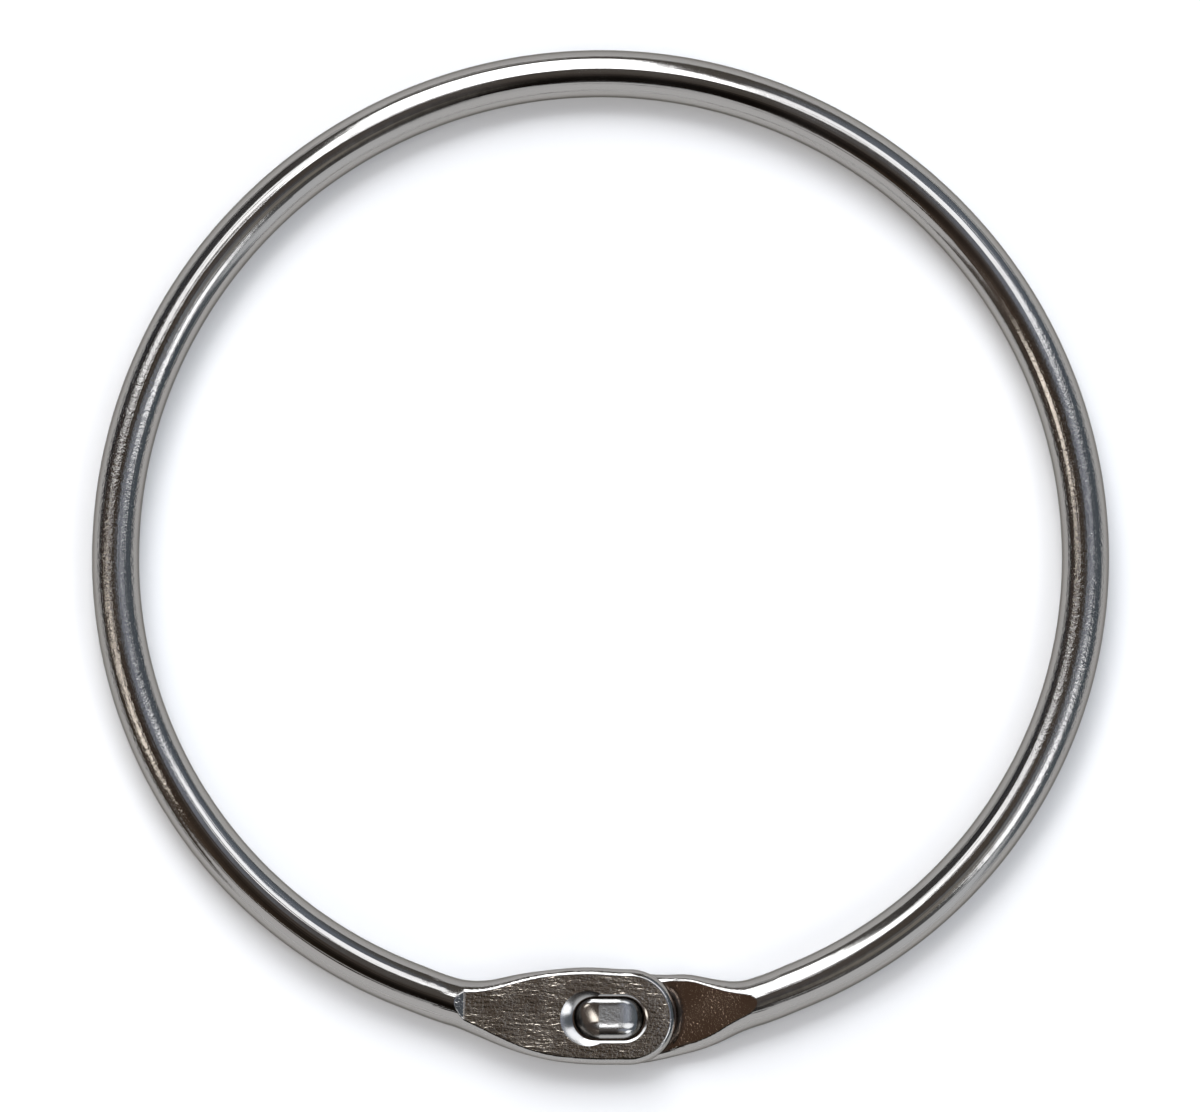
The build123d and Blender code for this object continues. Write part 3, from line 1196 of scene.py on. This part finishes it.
@dataclass(frozen=True)
class BinderRing:
    """The whole ring: wire, pressed ends, stud and slot as one closed piece."""

    name: str = "binder_ring"
    sizes: RingSizes = RingSizes()
    slotted: EndSizes = EndSizes(
        Side.SLOTTED,
        width=8.0,
        reach=5.65,
        straight=2.2,
        flare_start=12.05,
        trims=(
            (-2.35, -0.12, 0.0),
            (0.0, 0.0, 0.0),
            (3.0, 0.13, 0.0),
            (5.5, 0.16, 0.0),
            (7.9, 0.04, 0.0),
            (10.0, -0.2, 0.0),
            (11.7, -0.13, 0.13),
            (13.4, -0.11, 0.14),
            (14.7, -0.06, 0.1),
            (16.05, 0.0, 0.0),
        ),
    )
    studded: EndSizes = EndSizes(
        Side.STUD,
        width=7.5,
        reach=5.2,
        straight=3.0,
        flare_start=12.7,
        trims=(
            (0.0, 0.0, 0.0),
            (3.5, 0.0, -0.06),
            (5.9, 0.02, -0.15),
            (7.7, 0.18, -0.07),
            (9.3, 0.05, -0.03),
            (11.0, -0.14, -0.05),
            (12.6, -0.11, 0.14),
            (14.2, -0.09, 0.13),
            (15.5, -0.05, 0.08),
            (16.7, 0.0, 0.0),
        ),
    )
    stud: Stud = Stud(RingSizes())
    wire_finish: DrawnNickelWire = DrawnNickelWire()
    flat_finish: TumbledNickelFlat = TumbledNickelFlat()
    # The lapped ramps take a darker, browner copy of the flats' nickel: painted shade and painted brown
    # reflection of the lap
    ramp_finish_with_painted_shade: TumbledNickelFlat = TumbledNickelFlat(
        "tumbled_nickel_on_ramps_with_painted_shade",
        base="#94857A",
        roughness=0.12,
        strokes=Pattern(0.13, 0.012, breakup=0.6),
        stroke_length=0.25,
        pits=Pattern(0.11, 0.013, detail=1.0),
    )
    lock_finish: RubbedNickelLock = RubbedNickelLock()
    # Turns in degrees over which an edge is sharp: in one finish, in the lock, and between two finishes
    sharp_angle: float = 38.0
    lock_sharp_angle: float = 12.0
    crease_angle: float = 5.0
    # How far the flats' strokes take to come in, and the worn part of the stud's crown
    press_fade: float = 1.2
    scuff_half: float = 0.9
    scuff_fade: float = 0.35
    scuff_right_fade: float = 1.1
    scuff_left_fade: float = 0.035

    def build(self) -> bpy.types.Object:
        """Build the piece, and return it as a dressed object in the scene."""
        finishes = (self.wire_finish, self.flat_finish, self.ramp_finish_with_painted_shade, self.lock_finish)
        materials = [finish.build() for finish in finishes]
        wire = materials[Finish.WIRE]
        # The caps, which the weld takes away, have the wire's material
        slots = [*materials, wire]
        slotted_end = PressedEnd(self.sizes, self.slotted)
        stud_end = PressedEnd(self.sizes, self.studded)
        upper = slotted_end.build().to_object("slotted_end", slots)
        combine(upper, self.stud.slot_cutter().to_object("slot_cutter", slots), Boolean.CUT)
        combine(upper, self.stud.lead_in_cutter().to_object("lead_in_cutter", slots), Boolean.CUT)
        lower = stud_end.build().to_object("stud_end", slots)
        combine(lower, self.stud.build().to_object("stud", slots), Boolean.JOIN)
        sweep = WireSweep(self.sizes, slotted_end.start_run, stud_end.start_run).build(wire)
        mesh = self.weld([sweep, upper.data, lower.data], materials)
        drop_object(upper)
        drop_object(lower)
        self.mark_edges(mesh)
        self.dress(mesh)
        return link_mesh(self.name, mesh)

    def weld(
        self, meshes: Sequence[bpy.types.Mesh], materials: Sequence[bpy.types.Material]
    ) -> bpy.types.Mesh:
        """Join the wire and its ends into one closed mesh.

        Args:
            meshes: The open wire, and the ends with their caps.
            materials: The piece's finishes.

        Returns:
            The joined mesh.
        """
        shape = bmesh.new()
        for mesh in meshes:
            shape.from_mesh(mesh)
        caps = [f for f in shape.faces if f.material_index == Finish.CAP]
        bmesh.ops.delete(shape, geom=caps, context="FACES_ONLY")
        bmesh.ops.remove_doubles(shape, verts=shape.verts, dist=JOIN_GAP * MM)
        bmesh.ops.recalc_face_normals(shape, faces=shape.faces)
        loose = sum(1 for e in shape.edges if not e.is_manifold)
        log.info("open edges: %d, volume %.1f mm3", loose, shape.calc_volume(signed=True) / MM**3)
        mesh = bpy.data.meshes.new(self.name)
        for material in materials:
            mesh.materials.append(material)
        shape.to_mesh(mesh)
        shape.free()
        return mesh

    def mark_edges(self, mesh: bpy.types.Mesh) -> None:
        """Shade the mesh smooth, apart from edges that turn more than their finishes allow."""
        mesh.shade_smooth()
        shape = bmesh.new()
        shape.from_mesh(mesh)
        for edge in shape.edges:
            finishes = {face.material_index for face in edge.link_faces}
            limit = self.crease_angle if len(finishes) > 1 else self.sharp_angle
            limit = self.lock_sharp_angle if finishes == {Finish.LOCK} else limit
            edge.smooth = edge.calc_face_angle(0.0) < math.radians(limit)
        shape.to_mesh(mesh)
        shape.free()

    def dress(self, mesh: bpy.types.Mesh) -> None:
        """Give the mesh's points the attributes that the finishes read."""
        at = np.empty(len(mesh.vertices) * 3)
        mesh.vertices.foreach_get("co", at)
        at = at.reshape(-1, 3) / MM
        layer = mesh.attributes.new("grain", "FLOAT_VECTOR", "POINT")
        layer.data.foreach_set("vector", self.grain(at).astype(np.float32).ravel())
        for name, values in (("pressed", self.pressed(at)), ("scuff", self.scuff(at))):
            layer = mesh.attributes.new(name, "FLOAT", "POINT")
            layer.data.foreach_set("value", values.astype(np.float32))

    def grain(self, at: Points) -> Points:
        """Place of points along the wire from the ring's top, inwards and upwards.

        Args:
            at: Points in millimetres.

        Returns:
            One row for each, which goes on straight through each lapped end.
        """
        x, y, z = at.T
        sizes = self.sizes
        left, right = sizes.quarter_middle(Side.SLOTTED), sizes.quarter_middle(Side.STUD)
        middle = np.where(y < 0, np.clip(x, -left, right), 0.0)
        along = np.arctan2(x - middle, y) * sizes.ring_radius
        half_turn = math.pi * sizes.ring_radius
        tips = sizes.lock_shift - self.studded.reach, sizes.lock_shift + self.slotted.reach
        lapped = (y < 0) & (x > tips[0]) & (x < tips[1])
        upper = z > sizes.wire_radius
        along = np.where(lapped & upper & (x > -left), -half_turn - left - x, along)
        along = np.where(lapped & ~upper & (x < right), half_turn + right - x, along)
        inward = sizes.ring_radius - np.abs(middle) - np.hypot(x - middle, y)
        return np.stack([along, inward, z], -1)

    def pressed(self, at: Points) -> Points:
        """How far the dies have pressed points, from 0 where they run out to 1."""
        x = at[:, 0]
        starts = np.where(x < 0, self.slotted.flare_start, self.studded.flare_start + self.sizes.ramp_lead)
        return np.clip((starts - np.abs(x)) / self.press_fade, 0.0, 1.0)

    def scuff(self, at: Points) -> Points:
        """How worn points are, from 1 on the stud's crown to 0 round it.

        Args:
            at: Points in millimetres.

        Returns:
            One share for each.
        """
        stud = self.stud
        along, across = at[:, 0] - self.sizes.lock_shift, at[:, 1] - self.sizes.lock_y
        right = (along - stud.crown_right) * self.scuff_fade / self.scuff_right_fade
        outside = [stud.crown_left - along, right, across - self.scuff_half, stud.dish_from - across]
        scuff = np.clip(1 - np.max(outside, axis=0) / self.scuff_fade, 0.0, 1.0)
        return np.where(along < stud.crown_left - self.scuff_left_fade, 0.0, scuff)


class LampKind(Enum):
    """Colours of the studio's lamps."""

    DAY = "#F4F8FF"
    WARM = "#FFF8F0"


@dataclass(frozen=True)
class Lamp:
    """A flat soft lamp, by where it stands round the ring and how wide it looks from there, in degrees."""

    name: str
    azimuth: float
    polar: float
    wide: float
    tall: float
    radiance: float
    kind: LampKind = LampKind.DAY
    distance: float = 1500.0

    def build(self) -> None:
        """Put the lamp into the scene, facing the ring."""
        away = toward(self.azimuth, self.polar)
        light = bpy.data.lights.new(self.name, "AREA")
        light.shape = "RECTANGLE"
        light.size = 2 * self.distance * MM * math.tan(math.radians(self.wide / 2))
        light.size_y = 2 * self.distance * MM * math.tan(math.radians(self.tall / 2))
        light.color = to_linear(self.kind.value)[:3]
        light.energy = self.radiance * math.pi * light.size * light.size_y
        lamp = bpy.data.objects.new(self.name, light)
        lamp.location = away * self.distance * MM
        lamp.rotation_euler = (-away).to_track_quat("-Z", "Y").to_euler()
        bpy.context.scene.collection.objects.link(lamp)


@dataclass(frozen=True)
class RoomPatch:
    """A soft patch of the room's dim surroundings, by direction and spread in degrees."""

    azimuth: float
    polar: float
    spread: float
    colour: str


@dataclass(frozen=True)
class Studio:
    """A plain pale floor, soft lamps, a dim room and the camera straight above."""

    sizes: RingSizes = RingSizes()
    floor_size: float = 3000.0
    floor_gap: float = 0.002
    floor_colour: str = "#F7F6F4"
    floor_roughness: float = 0.9
    room_colour: str = "#716D68"
    view_width: float = 99.1
    view_centre: tuple[float, float] = (-0.04, 0.22)
    lens: float = 300.0
    sensor: float = 36.0
    clip_start: float = 10.0
    clip_end: float = 20000.0
    # Each with its azimuth, polar angle, width and height in degrees, and its radiance
    lamps: tuple[Lamp, ...] = (
        Lamp("lamp_right_window", 48, 41, 34, 22, 2.9),
        Lamp("lamp_main_window", 101.5, 49, 32, 47, 6.4),
        Lamp("lamp_left_window", 143, 39, 26, 22, 3.2),
        Lamp("lamp_low_right", 331, 42, 16, 20, 4.2),
        Lamp("lamp_left_small", 197, 45, 12, 16, 4.2, LampKind.WARM),
        Lamp("lamp_front_fill", 271, 67, 96, 46, 1.1),
    )
    # Each with its azimuth, polar angle and spread in degrees, and its colour
    patches: tuple[RoomPatch, ...] = (
        RoomPatch(0, 80, 75, "#747F8B"),
        RoomPatch(165, 75, 50, "#474A50"),
        RoomPatch(205, 42, 55, "#62544A"),
        RoomPatch(268, 28, 30, "#16120F"),
        RoomPatch(0, 22, 21, "#BAC4DA"),
        RoomPatch(45, 62, 28, "#9AA5B6"),
        RoomPatch(312, 22, 12, "#B8B3AA"),
    )

    def build(self) -> None:
        """Build all of it."""
        self.build_floor()
        for lamp in self.lamps:
            lamp.build()
        self.build_room()
        self.build_camera()
        bpy.context.scene.view_settings.view_transform = "Standard"

    def build_floor(self) -> None:
        """Lay the floor just under the ring."""
        half, level = self.floor_size / 2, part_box("ring")[0].z / MM - self.floor_gap
        corners = [(-half, -half, level), (half, -half, level), (half, half, level), (-half, half, level)]
        mesh = bpy.data.meshes.new("floor")
        mesh.from_pydata([tuple(v * MM for v in c) for c in corners], [], [range(len(corners))])
        material = bpy.data.materials.new("floor_paper")
        material.use_nodes = True
        shader = material.node_tree.nodes["Principled BSDF"]
        shader.inputs["Base Color"].default_value = to_linear(self.floor_colour)
        shader.inputs["Roughness"].default_value = self.floor_roughness
        shader.inputs["Specular IOR Level"].default_value = 0.0
        mesh.materials.append(material)
        link_mesh("floor", mesh)

    def build_room(self) -> None:
        """Paint the dim room round the studio in soft patches."""
        world = bpy.data.worlds.new("room")
        bpy.context.scene.world = world
        world.use_nodes = True
        tree = world.node_tree
        where = add_node(tree, "ShaderNodeTexCoord").outputs["Generated"]
        colour = to_linear(self.room_colour)
        for patch in self.patches:
            near = add_node(
                tree,
                "ShaderNodeVectorMath",
                {0: where, 1: toward(patch.azimuth, patch.polar)},
                operation="DOT_PRODUCT",
            ).outputs["Value"]
            share = remap(tree, near, (math.cos(math.radians(patch.spread)), 1.0), (0.0, 1.0))
            under, over = MIX_COLOURS
            mixed = {0: share, under: colour, over: to_linear(patch.colour)}
            colour = add_node(tree, "ShaderNodeMix", mixed, data_type="RGBA").outputs[MIX_RESULT]
        tree.links.new(colour, tree.nodes["Background"].inputs["Color"])

    def build_camera(self) -> None:
        """Hang the camera straight above the ring, as the photograph has it."""
        data = bpy.data.cameras.new("camera")
        data.lens, data.sensor_width, data.sensor_fit = self.lens, self.sensor, "HORIZONTAL"
        data.clip_start, data.clip_end = self.clip_start * MM, self.clip_end * MM
        camera = bpy.data.objects.new("camera", data)
        away = self.view_width * self.lens / self.sensor + self.sizes.wire_radius
        camera.location = Vector((*self.view_centre, away)) * MM
        bpy.context.scene.collection.objects.link(camera)
        bpy.context.scene.camera = camera


def main() -> None:
    """Build the ring and its studio, and report each piece."""
    logging.basicConfig(level=logging.INFO, format="%(name)s: %(message)s")
    piece = BinderRing().build()
    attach(piece, "root")
    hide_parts("ring")
    log.info("%s: %d faces", piece.name, len(piece.data.polygons))
    Studio().build()


if __name__ == "__main__":
    main()
